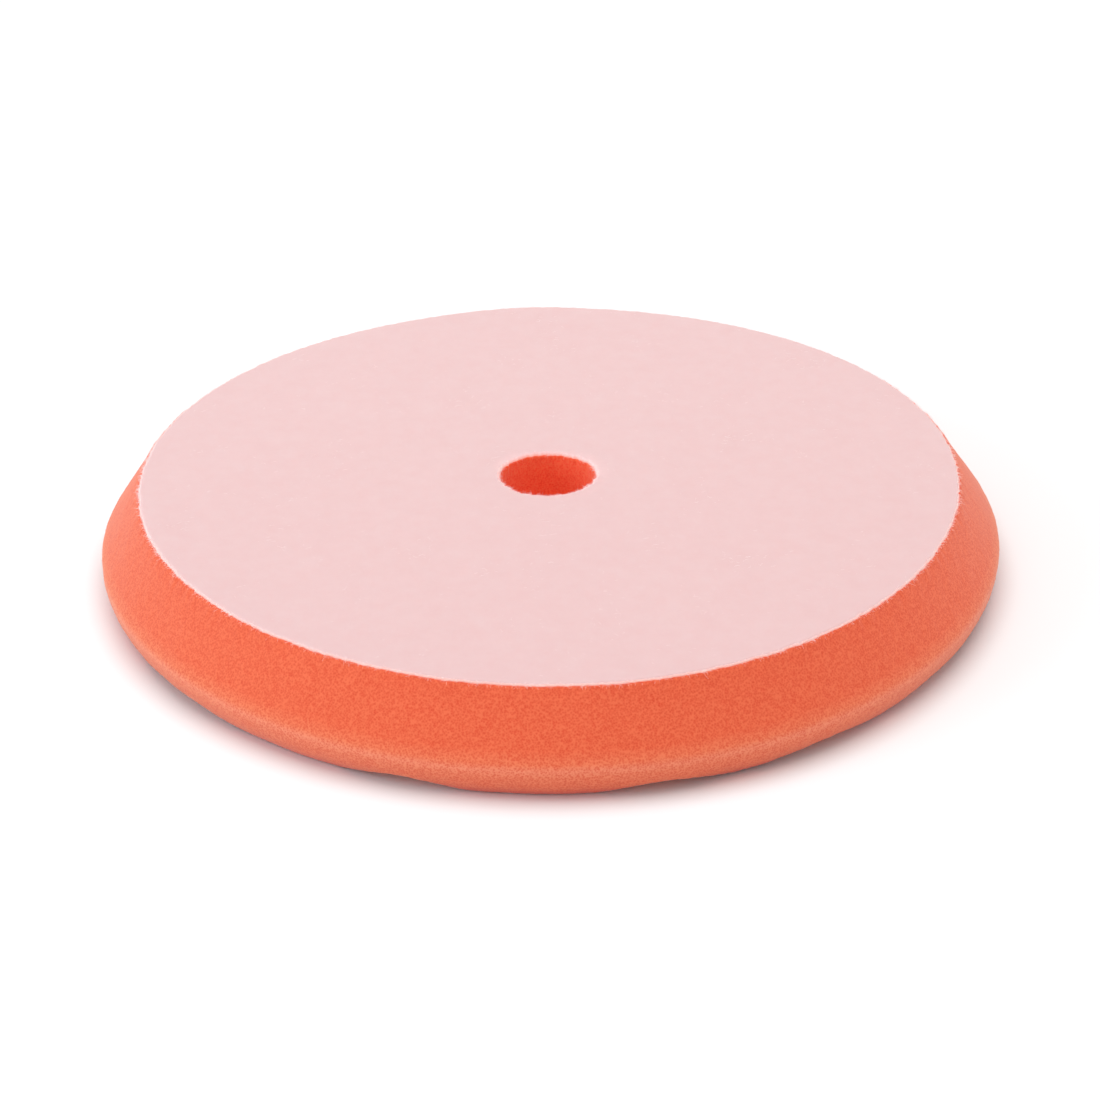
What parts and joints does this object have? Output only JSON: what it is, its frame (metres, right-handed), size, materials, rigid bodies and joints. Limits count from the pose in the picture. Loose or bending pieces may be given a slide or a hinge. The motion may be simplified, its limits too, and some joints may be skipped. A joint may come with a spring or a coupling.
{
  "type": "foam polishing pad",
  "caption": "Round foam polishing pad with chamfered shoulder, rounded side wall, centring hole, waffle working face and a loop-fabric back for a hook-faced backing plate.",
  "frame": {"origin": "centre of the working face, which is the middle of the underside of the pad as it lies on that face", "axes": "+Z along the pad's axis, from the working face to the loop face; +X and +Y lie in the working face"},
  "size_m": [0.18, 0.18, 0.02],
  "materials": {
    "foam": "open-cell polyurethane foam, matte",
    "adhesive_film": "thin satin hot-melt film",
    "loop_fabric": "brushed loop velour, matte"
  },
  "bodies": {
    "root": {"foam_pad": "foam", "adhesive_film": "adhesive_film", "loop_backing": "loop_fabric"}
  },
  "joints": []
}
